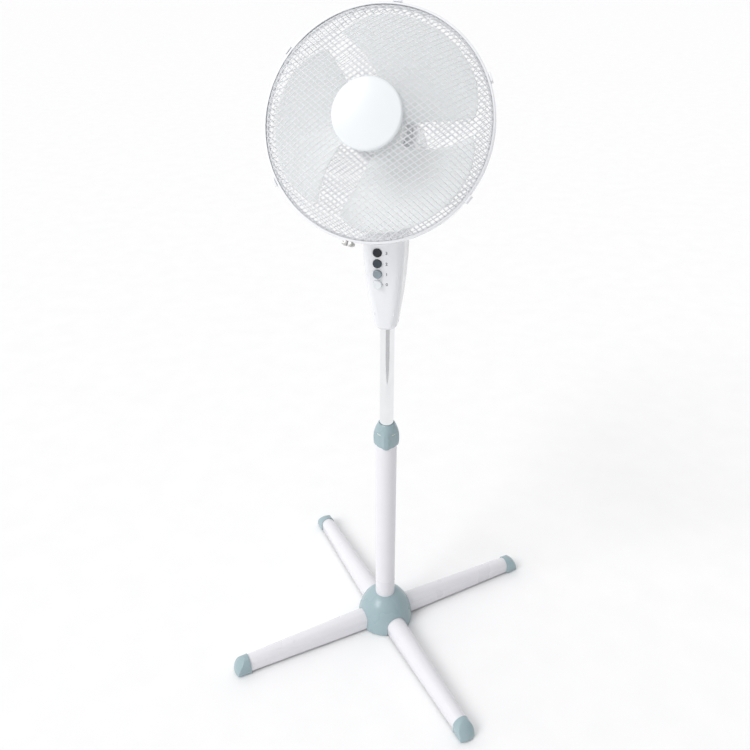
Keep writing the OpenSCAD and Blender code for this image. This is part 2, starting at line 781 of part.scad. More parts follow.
module shaft_bushes() {
  color(brass) shaft_frame() for (z = [rear_end_z - 1, front_end_z - 5])
    translate([0, 0, z]) tube(7.5, shaft_r + running, 10);
}

// Shaft with the worm cut on its tail and a cross pin that drives the propeller
module motor_shaft() {
  turns = 5;
  l = turns * worm_pitch;
  start = -worm_y - l / 2;
  color(steel) shaft_frame() {
    translate([0, 0, start])
      linear_extrude(l, twist = -360 * turns, slices = 9 * turns)
        translate([worm_wave, 0]) circle(r = worm_r, $fn = 18);
    translate([0, 0, start + l - 1]) cylinder(h = hub_front + 12 - start - l + 1, r = shaft_r);
    translate([-12, 0, hub_back + 4]) rotate([0, 90, 0]) cylinder(h = 24, r = 1.5);
  }
}

module rotor_core() {
  color(steel) shaft_frame() translate([0, 0, stator_z - 2]) tube(19.5, shaft_r + seat / 2, stator_l + 4);
}

// Half section of the rear cover as [radius, distance along the shaft]
module cover_profile(inset, front) {
  round_r = 16;
  core = motor_r - round_r;
  translate([0, cover_back + round_r]) square([motor_r - inset, front - cover_back - round_r]);
  translate([0, cover_back + inset]) square([core, front - cover_back - inset]);
  intersection() {
    translate([core, cover_back + round_r]) circle(r = round_r - inset);
    translate([core, cover_back]) square([round_r, round_r]);
  }
}

// Its open underside leaves room for the pivot boss, the crank and the link
module motor_cover_rear() {
  front = motor_back - 2;
  color(white) shaft_frame() difference() {
    rotate_extrude() difference() {
      cover_profile(0, front);
      translate([-eps, 0]) cover_profile(cover_wall, front + 1);
    }
    translate([-14, -motor_r - 2, -crank_y - 14]) cube([28, 14, crank_y + 25]);
    translate([0, 0, -crank_y]) rotate([-90, 0, 0]) cylinder(h = 2 * motor_r, r = 4.6 + gap);
    for (x = [-20 : 8 : 20]) translate([x - 1.5, -12, cover_back - 1]) cube([3, 24, cover_wall + 2]);
    for (a = [90, 210, 330]) rotate([0, 0, a]) translate([32, 0, cover_back - 1])
      cylinder(h = cover_wall + 2, r = 1.6 + seat);
  }
}

module motor_cover_front() {
  z0 = motor_back - 2 + seat;
  color(white) shaft_frame() difference() {
    union() {
      translate([0, 0, z0]) tube(motor_r, motor_r - cover_wall, motor_front - 6 - z0);
      translate([0, 0, motor_front - 6]) rotate_extrude() polygon([
        [22 + seat, 3.5], [motor_r - 6, 3.5], [motor_r - cover_wall, 0], [motor_r, 0],
        [motor_r - 5, 6], [22 + seat, 6]]);
    }
    for (a = [0 : 20 : 340]) rotate([0, 0, a]) translate([30, -1.5, motor_front - 6])
      cube([8, 3, 8]);
  }
}

module cover_screws() {
  color(steel) shaft_frame() for (a = [90, 210, 330]) rotate([0, 0, a])
    translate([32, 0, cover_back - 0.2]) {
      translate([0, 0, -1.6]) cylinder(h = 1.8, r = 3.2);
      cylinder(h = 8, r = 1.6);
    }
}

// ---------- guard ----------

// Depth of a grille at a distance from its axis: a flat face with rolled sides
function dome(r, reach, depth) = depth * (1 - (min(r, reach) / reach) ^ 2.6) ^ 0.62;

// One wire of a grille, bent over the dome in a plane beside the axis
module wire(offset, reach, depth, steps = 9) {
  inner = reach - wire_t;
  half = sqrt(reach ^ 2 - offset ^ 2);
  half_in = sqrt(inner ^ 2 - offset ^ 2);
  translate([offset - wire_t / 2, 0, 0]) rotate([90, 0, 90]) linear_extrude(wire_t) polygon(concat(
    [for (k = [-steps : steps]) let (t = half * sin(90 * k / steps))
      [t, dome(norm([t, offset]), reach, depth)]],
    [for (k = [steps : -1 : -steps]) let (t = half_in * sin(90 * k / steps))
      [t, dome(norm([t, offset]), inner, depth - wire_t)]]));
}

module wire_family(turn, reach, depth) {
  count = floor((reach - 10) / wire_pitch);
  rotate([0, 0, turn]) for (k = [-count : count]) wire(k * wire_pitch, reach, depth);
}

// Rim wire, two layers of crossing wires and a round plate at the crown
module grille(depth, plate_r) {
  outer = rim_r + wire_t / 2;
  rotate_extrude() translate([rim_r, 0]) circle(r = rim_wire, $fn = 24);
  wire_family(mesh_turn - 90, outer, depth);
  wire_family(-mesh_turn - 90, outer - wire_t - 0.05, depth - wire_t - 0.05);
  translate([0, 0, depth - 2 * wire_t - 1]) cylinder(h = 1.8, r = plate_r);
}

module front_grille() {
  color(white) shaft_frame() translate([0, 0, ring_forward + rim_wire + seat]) grille(front_depth, cap_r - 8);
}

module rear_grille() {
  color(white) shaft_frame() translate([0, 0, ring_forward - rim_wire - seat]) mirror([0, 0, 1])
    difference() {
      grille(rear_depth, grille_hub_r);
      cylinder(h = rear_depth + 1, r = 22 + seat);
    }
}

module grille_nut() {
  color(white) shaft_frame() translate([0, 0, ring_forward - rear_depth + 2.5]) difference() {
    union() {
      cylinder(h = 4, r = 31);
      cylinder(h = 7, r = 27);
      for (a = [0 : 45 : 315]) rotate([0, 0, a]) translate([27, 0, 0]) cylinder(h = 7, r = 4);
    }
    translate([0, 0, -1]) cylinder(h = 9, r = 22 + seat);
  }
}

// Band that closes over both rim wires
module guard_ring() {
  inner = rim_r + rim_wire + seat;
  lip_r = rim_r + 1.3;
  lip = 2 * rim_wire + 2 * seat;
  color(white) shaft_frame() translate([0, 0, ring_forward]) rotate_extrude() polygon([
    [lip_r, -ring_half], [guard_r - 1, -ring_half], [guard_r, 1 - ring_half], [guard_r, ring_half - 1],
    [guard_r - 1, ring_half], [lip_r, ring_half], [lip_r, lip + 0.2], [inner, lip + 0.2],
    [inner, -lip - 0.2], [lip_r, -lip - 0.2]]);
}

module guard_clips() {
  w = 12;
  color(white) shaft_frame() for (turn = clip_turns) rotate([0, 0, turn])
    translate([guard_r + seat, -w / 2, ring_forward - ring_half - 1])
      difference() {
        cube([3.2, w, 2 * ring_half + 2]);
        translate([1.6, -1, 3]) cube([3, w + 2, 2 * ring_half - 4]);
      }
}

module ring_screw() {
  color(steel) shaft_frame() rotate([0, 0, lock_turn]) translate([guard_r + seat, -6, ring_forward])
    difference() {
      union() {
        translate([0, 0, -4]) cube([7, 12, 8]);
        translate([3.5, -3, 0]) rotate([-90, 0, 0]) cylinder(h = 18, r = 2.4);
      }
      translate([-1, 4.5, -5]) cube([9, 3, 10]);
    }
}

module centre_cap() {
  h = 8;
  z = ring_forward + rim_wire + seat + front_depth + seat;
  color(white) shaft_frame() translate([0, 0, z]) rotate_extrude() polygon(concat(
    [[0, 0], [cap_r - 1, 0], [cap_r, 1]],
    [for (k = [0 : 6]) let (a = 15 * k) [cap_r - 3.5 + 3.5 * cos(a), h - 3.5 - 1.5 + 3.5 * sin(a)]],
    [for (k = [1 : 6]) let (r = (cap_r - 3.5) * (1 - k / 6)) [r, h - 1.5 + 1.5 * (1 - (r / cap_r) ^ 2)]]));
}

// ---------- propeller ----------

// One wide blade: rings of points from hub to tip, sheet thickness along the axis
module blade_sheet() {
  rings = 8;
  across = 10;
  thick = 2;
  root = blade_hub_r - 4;
  function lead(u) = 20 + 54 * u - 17 * u * u;
  function trail(u) = -44 - 16 * u + 9 * u * u;
  function radius(u, v) = root + (blade_r - root) * u - 14 * u ^ 4 * (2 * v - 1) ^ 4;
  function rise(u, v) = (0.5 - v) * (30 - 8 * u) - 3 * sin(180 * v) - 12 * u * u;
  function at(i, j, up) = let (u = i / rings, v = j / across,
    a = trail(u) + (lead(u) - trail(u)) * v, r = radius(u, v))
    [r * cos(a), r * sin(a), -rise(u, v) + up];
  n = across + 1;
  m = (rings + 1) * n;
  function id(i, j, side) = side * m + i * n + j;
  points = [for (side = [0, 1], i = [0 : rings], j = [0 : across]) at(i, j, side * thick - thick / 2)];
  skins = [for (i = [0 : rings - 1], j = [0 : across - 1]) each
    [[id(i, j, 0), id(i + 1, j, 0), id(i, j + 1, 0)],
     [id(i, j + 1, 0), id(i + 1, j, 0), id(i + 1, j + 1, 0)],
     [id(i, j, 1), id(i, j + 1, 1), id(i + 1, j, 1)],
     [id(i, j + 1, 1), id(i + 1, j + 1, 1), id(i + 1, j, 1)]]];
  edges = [for (i = [0 : rings - 1]) each
    [[id(i, 0, 0), id(i, 0, 1), id(i + 1, 0, 0)], [id(i + 1, 0, 0), id(i, 0, 1), id(i + 1, 0, 1)],
     [id(i, across, 0), id(i + 1, across, 0), id(i, across, 1)],
     [id(i + 1, across, 0), id(i + 1, across, 1), id(i, across, 1)]]];
  ends = [for (j = [0 : across - 1]) each
    [[id(0, j, 0), id(0, j + 1, 0), id(0, j, 1)], [id(0, j + 1, 0), id(0, j + 1, 1), id(0, j, 1)],
     [id(rings, j, 0), id(rings, j, 1), id(rings, j + 1, 0)],
     [id(rings, j + 1, 0), id(rings, j, 1), id(rings, j + 1, 1)]]];
  polyhedron(points, concat(skins, edges, ends));
}

module propeller() {
  mid = (hub_back + hub_front) / 2;
  bore = shaft_r + running;
  color([0.85, 0.87, 0.89]) shaft_frame() difference() {
    union() {
      for (k = [0 : blade_count - 1]) rotate([0, 0, 360 * k / blade_count + 60])
        translate([0, 0, mid]) blade_sheet();
      translate([0, 0, hub_back]) difference() {
        cylinder(h = hub_front - hub_back, r1 = blade_hub_r, r2 = blade_hub_r - 2);
        translate([0, 0, -1]) cylinder(h = hub_front - hub_back - 2, r = blade_hub_r - 5);
      }
      translate([0, 0, hub_back + 1]) cylinder(h = hub_front - hub_back - 2, r = 10);
    }
    translate([0, 0, hub_back - 1]) cylinder(h = hub_front, r = bore);
    translate([-13, -1.8, hub_back - 1]) cube([26, 3.6, 7]);
  }
}

module spinner_nut() {
  color(white) shaft_frame() translate([0, 0, hub_front + seat]) difference() {
    union() {
      cylinder(h = 10, r1 = 15, r2 = 12);
      translate([0, 0, 10]) cylinder(h = 6, r1 = 12, r2 = 6);
      for (a = [0 : 60 : 300]) rotate([0, 0, a]) translate([14, 0, 0]) cylinder(h = 8, r = 2.5);
    }
    translate([0, 0, -1]) cylinder(h = 13 + seat, r = shaft_r + seat / 2);
  }
}

leg_bar_upper();
leg_bar_lower();
foot_cap(0);  // foot_cap_1
foot_cap(90);  // foot_cap_2
foot_cap(180);  // foot_cap_3
foot_cap(270);  // foot_cap_4
foot_pads();
base_hub();
clamp_plate();
base_bolt();
tube_plug();
outer_tube();
guide_bush();
locking_collar();
tube_glide();
inner_tube();
neck_post();
control_box_front();
control_box_back();
box_screws();
switch_block();
run_capacitor();
push_button(0, dark);  // button_high
push_button(1, [0.26, 0.3, 0.34]);  // button_medium
push_button(2, [0.6, 0.64, 0.66]);  // button_low
push_button(3, white);  // button_off
tilt_bracket();
tilt_pin();
tilt_knob();
link_arm();
gearbox_case();
gearbox_lid();
pivot_pin();
worm_gear();
drive_gear();
crank();
clutch_knob();
motor_end_rear();
motor_end_front();
stator_core();
stator_coils();
shaft_bushes();
motor_shaft();
rotor_core();
motor_cover_rear();
motor_cover_front();
cover_screws();
rear_grille();
grille_nut();
guard_ring();
guard_clips();
ring_screw();
front_grille();
centre_cap();
propeller();
spinner_nut();
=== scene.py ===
"""Looks of a pedestal fan: cross base, telescopic column, button box, tilting head in a mesh guard.

Everything is in metres in the frame's own axes: +Z up, the fan looks along -Y and upwards. Pieces are
made upright round their own axis and then laid into the column's, the shaft's or the tilt hinge's frame.
"""
import json
import math

import bpy
from mathutils import Matrix, Vector


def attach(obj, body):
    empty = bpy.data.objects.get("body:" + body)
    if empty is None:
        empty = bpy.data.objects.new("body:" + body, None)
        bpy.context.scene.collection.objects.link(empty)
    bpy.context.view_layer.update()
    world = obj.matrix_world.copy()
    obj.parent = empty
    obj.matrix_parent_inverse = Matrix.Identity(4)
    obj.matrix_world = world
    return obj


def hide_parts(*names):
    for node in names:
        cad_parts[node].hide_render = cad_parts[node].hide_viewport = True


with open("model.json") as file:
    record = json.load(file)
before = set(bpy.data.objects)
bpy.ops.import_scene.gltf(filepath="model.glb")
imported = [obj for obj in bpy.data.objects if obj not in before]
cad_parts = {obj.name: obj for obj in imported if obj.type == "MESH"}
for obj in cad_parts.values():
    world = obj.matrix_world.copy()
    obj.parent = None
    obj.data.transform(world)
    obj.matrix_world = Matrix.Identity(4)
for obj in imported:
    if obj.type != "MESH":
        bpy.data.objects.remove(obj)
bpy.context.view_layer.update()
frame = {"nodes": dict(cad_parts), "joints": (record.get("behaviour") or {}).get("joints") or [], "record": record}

nodes = frame["nodes"]
joints = {joint["name"]: joint for joint in frame["joints"]}
MM = 0.001
SAME_PLACE = 2e-6
SAME_CAD_PLACE = 5e-6

# ---------------------------------------------------------------- frames


def axes_frame(origin, up, forward):
    """A frame with +Z along forward and +Y along up."""
    z = Vector(forward).normalized()
    y = (Vector(up) - Vector(up).dot(z) * z).normalized()
    x = y.cross(z)
    turn = Matrix((x, y, z)).transposed().to_4x4()
    return Matrix.Translation(Vector(origin)) @ turn


COLUMN = Matrix.Identity(4)
HEAD_UP = Vector(joints["oscillation"]["axis"]).normalized()
FORWARD = Vector(joints["fan_spin"]["axis"]).normalized()
SHAFT = axes_frame(joints["fan_spin"]["pos_m"], HEAD_UP, FORWARD)


def span(node, place=COLUMN):
    """Lowest and highest corner of a CAD node in a frame."""
    back = place.inverted()
    points = [back @ v.co for v in nodes[node].data.vertices]
    low = Vector([min(p[i] for p in points) for i in range(3)])
    high = Vector([max(p[i] for p in points) for i in range(3)])
    return low, high


def reach(node, place=COLUMN):
    """Largest distance of a CAD node from a frame's Z axis."""
    back = place.inverted()
    return max((back @ v.co).to_2d().length for v in nodes[node].data.vertices)


# ---------------------------------------------------------------- modelling


def deselect():
    """Back to object mode with nothing selected."""
    if bpy.context.mode != "OBJECT":
        bpy.ops.object.mode_set(mode="OBJECT")
    bpy.ops.object.select_all(action="DESELECT")


def choose(obj):
    """Makes one object the only selected and active one."""
    deselect()
    obj.select_set(True)
    bpy.context.view_layer.objects.active = obj
    return obj


def edit(obj):
    """Opens an object for editing."""
    choose(obj)
    bpy.ops.object.mode_set(mode="EDIT")


def done():
    """Closes the object that is being edited."""
    bpy.ops.object.mode_set(mode="OBJECT")


def started(name):
    """The new primitive, under its own name."""
    obj = bpy.context.active_object
    obj.name = name
    obj.data.name = name
    return obj


def lay(obj, place):
    """Puts an upright piece into a frame and leaves its place in its mesh."""
    obj.matrix_world = place @ obj.matrix_world
    choose(obj)
    bpy.ops.object.transform_apply(location=True, rotation=True, scale=True)
    return obj


def modify(obj, kind, **values):
    """Applies one modifier at once."""
    choose(obj)
    modifier = obj.modifiers.new(kind.title(), kind)
    for key, value in values.items():
        setattr(modifier, key, value)
    bpy.ops.object.modifier_apply(modifier=modifier.name)
    return obj


def soften(obj, width, segments=2, angle=32):
    """Rounds the sharp edges of a piece."""
    return modify(obj, "BEVEL", width=width, segments=segments, limit_method="ANGLE",
                  angle_limit=math.radians(angle), use_clamp_overlap=True)


def smooth(obj, angle=32):
    """Shades a piece smooth, with edges past that angle left sharp."""
    choose(obj)
    bpy.ops.object.shade_smooth_by_angle(angle=math.radians(angle))
    return obj


def outward(obj):
    """Merges doubles and turns every face outwards."""
    edit(obj)
    bpy.ops.mesh.select_all(action="SELECT")
    bpy.ops.mesh.remove_doubles(threshold=SAME_PLACE)
    bpy.ops.mesh.select_all(action="SELECT")
    bpy.ops.mesh.normals_make_consistent(inside=False)
    done()
    return obj


def formed(name, sides, rows, point):
    """An open drum with that many sides and rows, each vertex moved to point(side, row)."""
    deselect()
    bpy.ops.mesh.primitive_cylinder_add(vertices=sides, radius=1, depth=1, end_fill_type="NOTHING")
    obj = started(name)
    edit(obj)
    bpy.ops.mesh.select_mode(type="EDGE")
    bpy.ops.mesh.select_all(action="DESELECT")
    done()
    corners = obj.data.vertices
    for edge in obj.data.edges:
        a, b = edge.vertices
        edge.select = abs(corners[a].co.z - corners[b].co.z) > 0.5
    edit(obj)
    bpy.ops.mesh.subdivide(number_cuts=rows - 2)
    bpy.ops.mesh.select_mode(type="VERT")
    done()
    for v in obj.data.vertices:
        side = round(math.atan2(v.co.y, v.co.x) / math.tau * sides) % sides
        row = round((v.co.z + 0.5) * (rows - 1))
        v.co = point(side, row)
    return outward(obj)


def turned(name, profile, sides=96):
    """A turned piece from [radius, height] points. It is closed where the radius is zero or the ends meet."""
    def point(side, row):
        radius, height = profile[row]
        angle = math.tau * side / sides
        return (radius * math.cos(angle), radius * math.sin(angle), height)
    return formed(name, sides, len(profile), point)


def rounded(points, radius):
    """The same outline with each inner corner replaced by a short arc."""
    steps = 5
    out = [points[0]]
    for before, here, after in zip(points, points[1:], points[2:]):
        a, b, c = Vector(before), Vector(here), Vector(after)
        room = 0.45 * min((a - b).length, (c - b).length)
        cut = min(radius, room)
        start = b + (a - b).normalized() * cut
        end = b + (c - b).normalized() * cut
        for k in range(steps + 1):
            t = k / steps
            out.append(tuple((1 - t) ** 2 * start + 2 * t * (1 - t) * b + t ** 2 * end))
    out.append(points[-1])
    return out


def joined(pieces, name):
    """Several pieces as one, under one name."""
    deselect()
    for obj in pieces:
        obj.select_set(True)
    bpy.context.view_layer.objects.active = pieces[0]
    bpy.ops.object.join()
    pieces[0].name = name
    return pieces[0]


def copied(obj, place, name):
    """A copy with its own mesh, laid elsewhere."""
    choose(obj)
    bpy.ops.object.duplicate(linked=False)
    return lay(started(name), place)


def refined(node, name, bevel=0.4 * MM, angle=32, segments=2):
    """A copy of a CAD node with its triangles merged and its sharp edges rounded."""
    obj = nodes[node].copy()
    obj.data = nodes[node].data.copy()
    obj.name = name
    obj.parent = None
    for key in list(obj.keys()):
        del obj[key]
    bpy.context.scene.collection.objects.link(obj)
    edit(obj)
    bpy.ops.mesh.select_all(action="SELECT")
    bpy.ops.mesh.remove_doubles(threshold=SAME_CAD_PLACE)
    bpy.ops.mesh.dissolve_limited(angle_limit=math.radians(0.6))
    done()
    soften(obj, bevel, segments, angle)
    return smooth(obj, angle)


def piece(obj, body, slot, material, *replaced):
    """Hands a finished piece to the frame."""
    obj.data.materials.clear()
    obj.data.materials.append(material)
    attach(obj, body)
    if replaced:
        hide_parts(*replaced)
    return obj


# ---------------------------------------------------------------- effects shared by the materials

# Sockets of a colour mix: its two colours and its result
COLOUR_A = 6
COLOUR_B = 7
MIXED = 2
REFRACTION = 1.46


def effect(name, inputs, outputs):
    """An empty node group with its sockets, and its input and output nodes."""
    group = bpy.data.node_groups.new(name, "ShaderNodeTree")
    for label, kind, value in inputs:
        socket = group.interface.new_socket(name=label, in_out="INPUT", socket_type=kind)
        socket.default_value = value
    for label, kind in outputs:
        group.interface.new_socket(name=label, in_out="OUTPUT", socket_type=kind)
    return group, group.nodes.new("NodeGroupInput"), group.nodes.new("NodeGroupOutput")


def colour_mix(tree):
    """A node that mixes two colours by a factor."""
    node = tree.nodes.new("ShaderNodeMix")
    node.data_type = "RGBA"
    return node


def moulded_grain():
    """Fine surface of moulded plastic or sprayed paint: a height, and a mask of broad unevenness."""
    group, inside, out = effect(
        "moulded grain",
        [("Scale", "NodeSocketFloat", 900.0), ("Waviness", "NodeSocketFloat", 0.4)],
        [("Height", "NodeSocketFloat"), ("Mask", "NodeSocketFloat")])
    link = group.links.new
    where = group.nodes.new("ShaderNodeTexCoord")
    fine = group.nodes.new("ShaderNodeTexNoise")
    fine.inputs["Detail"].default_value = 3.0
    broad = group.nodes.new("ShaderNodeTexNoise")
    broad.inputs["Scale"].default_value = 14.0
    broad.inputs["Detail"].default_value = 2.0
    link(where.outputs["Object"], fine.inputs["Vector"])
    link(where.outputs["Object"], broad.inputs["Vector"])
    link(inside.outputs["Scale"], fine.inputs["Scale"])
    weighed = group.nodes.new("ShaderNodeMath")
    weighed.operation = "MULTIPLY_ADD"
    link(broad.outputs["Fac"], weighed.inputs[0])
    link(inside.outputs["Waviness"], weighed.inputs[1])
    link(fine.outputs["Fac"], weighed.inputs[2])
    link(weighed.outputs[0], out.inputs["Height"])
    link(broad.outputs["Fac"], out.inputs["Mask"])
    return group


def settled_dust():
    """A thin uneven film on the faces that look up, as a colour over the base colour."""
    group, inside, out = effect(
        "settled dust",
        [("Base", "NodeSocketColor", (1, 1, 1, 1)), ("Dust", "NodeSocketColor", (0.55, 0.54, 0.52, 1)),
         ("Amount", "NodeSocketFloat", 0.12)],
        [("Color", "NodeSocketColor")])
    link = group.links.new
    where = group.nodes.new("ShaderNodeTexCoord")
    facing = group.nodes.new("ShaderNodeSeparateXYZ")
    link(where.outputs["Normal"], facing.inputs[0])
    patch = group.nodes.new("ShaderNodeTexNoise")
    patch.inputs["Scale"].default_value = 38.0
    patch.inputs["Detail"].default_value = 5.0
    link(where.outputs["Object"], patch.inputs["Vector"])
    up = group.nodes.new("ShaderNodeMapRange")
    up.inputs["From Min"].default_value = 0.35
    link(facing.outputs["Z"], up.inputs["Value"])
    both = group.nodes.new("ShaderNodeMath")
    both.operation = "MULTIPLY"
    link(up.outputs["Result"], both.inputs[0])
    link(patch.outputs["Fac"], both.inputs[1])
    amount = group.nodes.new("ShaderNodeMath")
    amount.operation = "MULTIPLY"
    link(both.outputs[0], amount.inputs[0])
    link(inside.outputs["Amount"], amount.inputs[1])
    mix = colour_mix(group)
    link(amount.outputs[0], mix.inputs["Factor"])
    link(inside.outputs["Base"], mix.inputs[COLOUR_A])
    link(inside.outputs["Dust"], mix.inputs[COLOUR_B])
    link(mix.outputs[MIXED], out.inputs["Color"])
    return group


def drawn_grain():
    """Long fine scratches along the object's Z or X axis, as left by drawing, turning or brushing."""
    group, inside, out = effect(
        "drawn grain",
        [("Stretch", "NodeSocketVector", (900.0, 900.0, 12.0))],
        [("Height", "NodeSocketFloat"), ("Mask", "NodeSocketFloat")])
    link = group.links.new
    where = group.nodes.new("ShaderNodeTexCoord")
    scaled = group.nodes.new("ShaderNodeVectorMath")
    scaled.operation = "MULTIPLY"
    link(where.outputs["Object"], scaled.inputs[0])
    link(inside.outputs["Stretch"], scaled.inputs[1])
    lines = group.nodes.new("ShaderNodeTexNoise")
    lines.inputs["Scale"].default_value = 1.0
    lines.inputs["Detail"].default_value = 4.0
    link(scaled.outputs[0], lines.inputs["Vector"])
    stain = group.nodes.new("ShaderNodeTexNoise")
    stain.inputs["Scale"].default_value = 60.0
    link(where.outputs["Object"], stain.inputs["Vector"])
    link(lines.outputs["Fac"], out.inputs["Height"])
    link(stain.outputs["Fac"], out.inputs["Mask"])
    return group


GRAIN = moulded_grain()
DUST = settled_dust()
DRAWN = drawn_grain()


def group_node(tree, group, **values):
    """A shared effect in a material, with its own values."""
    node = tree.nodes.new("ShaderNodeGroup")
    node.node_tree = group
    for label, value in values.items():
        node.inputs[label].default_value = value
    return node


def surface(name, metallic=0.0, coat=0.0, **sockets):
    """A material with its shader, and its own constants on the shader's sockets."""
    material = bpy.data.materials.new(name)
    material.use_nodes = True
    tree = material.node_tree
    shader = tree.nodes["Principled BSDF"]
    shader.inputs["Metallic"].default_value = metallic
    shader.inputs["Coat Weight"].default_value = coat
    shader.inputs["IOR"].default_value = REFRACTION
    for label, value in sockets.items():
        shader.inputs[label.replace("_", " ")].default_value = value
    return material, tree, shader


def bump(tree, shader, height, strength, distance):
    """Relief on a shader from a height."""
    node = tree.nodes.new("ShaderNodeBump")
    node.inputs["Strength"].default_value = strength
    node.inputs["Distance"].default_value = distance
    tree.links.new(height, node.inputs["Height"])
    tree.links.new(node.outputs["Normal"], shader.inputs["Normal"])


def ranged(tree, mask, low, high):
    """A mask spread between two values."""
    node = tree.nodes.new("ShaderNodeMapRange")
    node.inputs["From Min"].default_value = 0.3
    node.inputs["From Max"].default_value = 0.7
    node.inputs["To Min"].default_value = low
    node.inputs["To Max"].default_value = high
    tree.links.new(mask, node.inputs["Value"])
    return node.outputs["Result"]


def toned(tree, mask, dark, light):
    """A mask spread between two close colours."""
    node = colour_mix(tree)
    node.inputs[COLOUR_A].default_value = (*dark, 1)
    node.inputs[COLOUR_B].default_value = (*light, 1)
    tree.links.new(ranged(tree, mask, 0.0, 1.0), node.inputs["Factor"])
    return node.outputs[MIXED]


def plastic(name, colour, rough=(0.28, 0.36), grain=900.0, depth=0.012, dust=0.10, coat=0.0, **sockets):
    """Moulded plastic or sprayed paint: fine grain, a little unevenness of tone and gloss, settled dust."""
    material, tree, shader = surface(name, coat=coat, **sockets)
    skin = group_node(tree, GRAIN, Scale=grain)
    dark = tuple(c * 0.975 for c in colour)
    tone = toned(tree, skin.outputs["Mask"], dark, colour)
    film = group_node(tree, DUST, Amount=dust)
    tree.links.new(tone, film.inputs["Base"])
    tree.links.new(film.outputs["Color"], shader.inputs["Base Color"])
    tree.links.new(ranged(tree, skin.outputs["Mask"], *rough), shader.inputs["Roughness"])
    bump(tree, shader, skin.outputs["Height"], depth, 0.5 * MM)
    return material


def metal(name, colour, rough=(0.2, 0.34), stretch=(700.0, 700.0, 14.0), depth=0.05, tarnish=0.85):
    """Bare or plated metal with fine lines left by drawing, turning or brushing."""
    material, tree, shader = surface(name, metallic=1.0)
    lines = group_node(tree, DRAWN, Stretch=stretch)
    dark = tuple(c * tarnish for c in colour)
    tree.links.new(toned(tree, lines.outputs["Mask"], dark, colour), shader.inputs["Base Color"])
    tree.links.new(ranged(tree, lines.outputs["Mask"], *rough), shader.inputs["Roughness"])
    bump(tree, shader, lines.outputs["Height"], depth, 0.1 * MM)
    return material


def banded(name, colour, groove, pitch, axis, metallic, rough):
    """Stacked sheets or wound wire: parallel bands at a fixed pitch along one axis of the head."""
    material, tree, shader = surface(name, metallic=metallic)
    where = tree.nodes.new("ShaderNodeTexCoord")
    along = tree.nodes.new("ShaderNodeVectorMath")
    along.operation = "DOT_PRODUCT"
    along.inputs[1].default_value = tuple(axis * (1 / pitch))
    tree.links.new(where.outputs["Object"], along.inputs[0])
    saw = tree.nodes.new("ShaderNodeMath")
    saw.operation = "PINGPONG"
    saw.inputs[1].default_value = 0.5
    tree.links.new(along.outputs["Value"], saw.inputs[0])
    mix = colour_mix(tree)
    mix.inputs[COLOUR_A].default_value = (*groove, 1)
    mix.inputs[COLOUR_B].default_value = (*colour, 1)
    spread = tree.nodes.new("ShaderNodeMapRange")
    spread.inputs["From Max"].default_value = 0.25
    tree.links.new(saw.outputs[0], spread.inputs["Value"])
    tree.links.new(spread.outputs["Result"], mix.inputs["Factor"])
    tree.links.new(mix.outputs[MIXED], shader.inputs["Base Color"])
    skin = group_node(tree, GRAIN, Scale=400.0)
    tree.links.new(ranged(tree, skin.outputs["Mask"], *rough), shader.inputs["Roughness"])
    bump(tree, shader, spread.outputs["Result"], 0.4, 0.2 * MM)
    return material


WHITE_ENAMEL = plastic("white enamel", (0.79, 0.785, 0.82), (0.26, 0.32), 420.0, 0.02, 0.02, coat=0.2)
WHITE_GLOSS = plastic("white gloss plastic", (0.87, 0.88, 0.9), (0.22, 0.28), 1100.0, 0.01, 0.02)
CAP_GLOSS = plastic("cap gloss plastic", (0.84, 0.87, 0.89), (0.14, 0.2), 1100.0, 0.006, 0.01, coat=0.3)
WIRE_COAT = plastic("wire coating", (0.84, 0.85, 0.87), (0.26, 0.34), 700.0, 0.02, 0.02)
BLUE_GREY = plastic("blue-grey plastic", (0.34, 0.45, 0.48), (0.24, 0.32), 1300.0, 0.02, 0.03)
BLADE = plastic("frosted blade plastic", (0.93, 0.95, 0.95), (0.28, 0.34), 600.0, 0.012, 0.0, Alpha=0.8)
PAD_RUBBER = plastic("pad rubber", (0.035, 0.035, 0.038), (0.7, 0.85), 500.0, 0.12, 0.25)
DARK_PLASTIC = plastic("dark switch plastic", (0.03, 0.03, 0.034), (0.45, 0.55), 900.0, 0.05, 0.1)
INK = plastic("printed ink", (0.09, 0.1, 0.11), (0.4, 0.5), 900.0, 0.0, 0.0)
NYLON = plastic("natural nylon", (0.8, 0.78, 0.7), (0.35, 0.45), 700.0, 0.04, 0.0, Subsurface_Weight=0.1)
BUTTON_COLOURS = {
    "button_high": plastic("button black", (0.012, 0.015, 0.022), (0.22, 0.3), 1200.0, 0.01, 0.02),
    "button_medium": plastic("button slate", (0.04, 0.055, 0.07), (0.22, 0.3), 1200.0, 0.01, 0.02),
    "button_low": plastic("button grey", (0.28, 0.34, 0.37), (0.22, 0.3), 1200.0, 0.01, 0.02),
    "button_off": plastic("button white", (0.82, 0.86, 0.88), (0.2, 0.28), 1200.0, 0.01, 0.02),
}
CHROME = metal("chromed tube", (0.86, 0.87, 0.88), (0.035, 0.07), (600.0, 600.0, 6.0), 0.01, 0.97)
ZINC = metal("zinc plated steel", (0.6, 0.6, 0.58), (0.26, 0.4))
DIE_CAST = metal("die-cast alloy", (0.56, 0.57, 0.58), (0.42, 0.58), (260.0, 260.0, 260.0), 0.25)
BRONZE = metal("sintered bronze", (0.55, 0.36, 0.18), (0.35, 0.5), (300.0, 300.0, 300.0), 0.2)
LAMINATION = banded("stacked laminations", (0.5, 0.5, 0.51), (0.16, 0.16, 0.17), 0.7 * MM, FORWARD, 1.0,
                    (0.35, 0.5))
WINDING = banded("enamelled winding", (0.6, 0.24, 0.08), (0.2, 0.07, 0.03), 0.9 * MM, HEAD_UP, 0.6,
                 (0.25, 0.4))

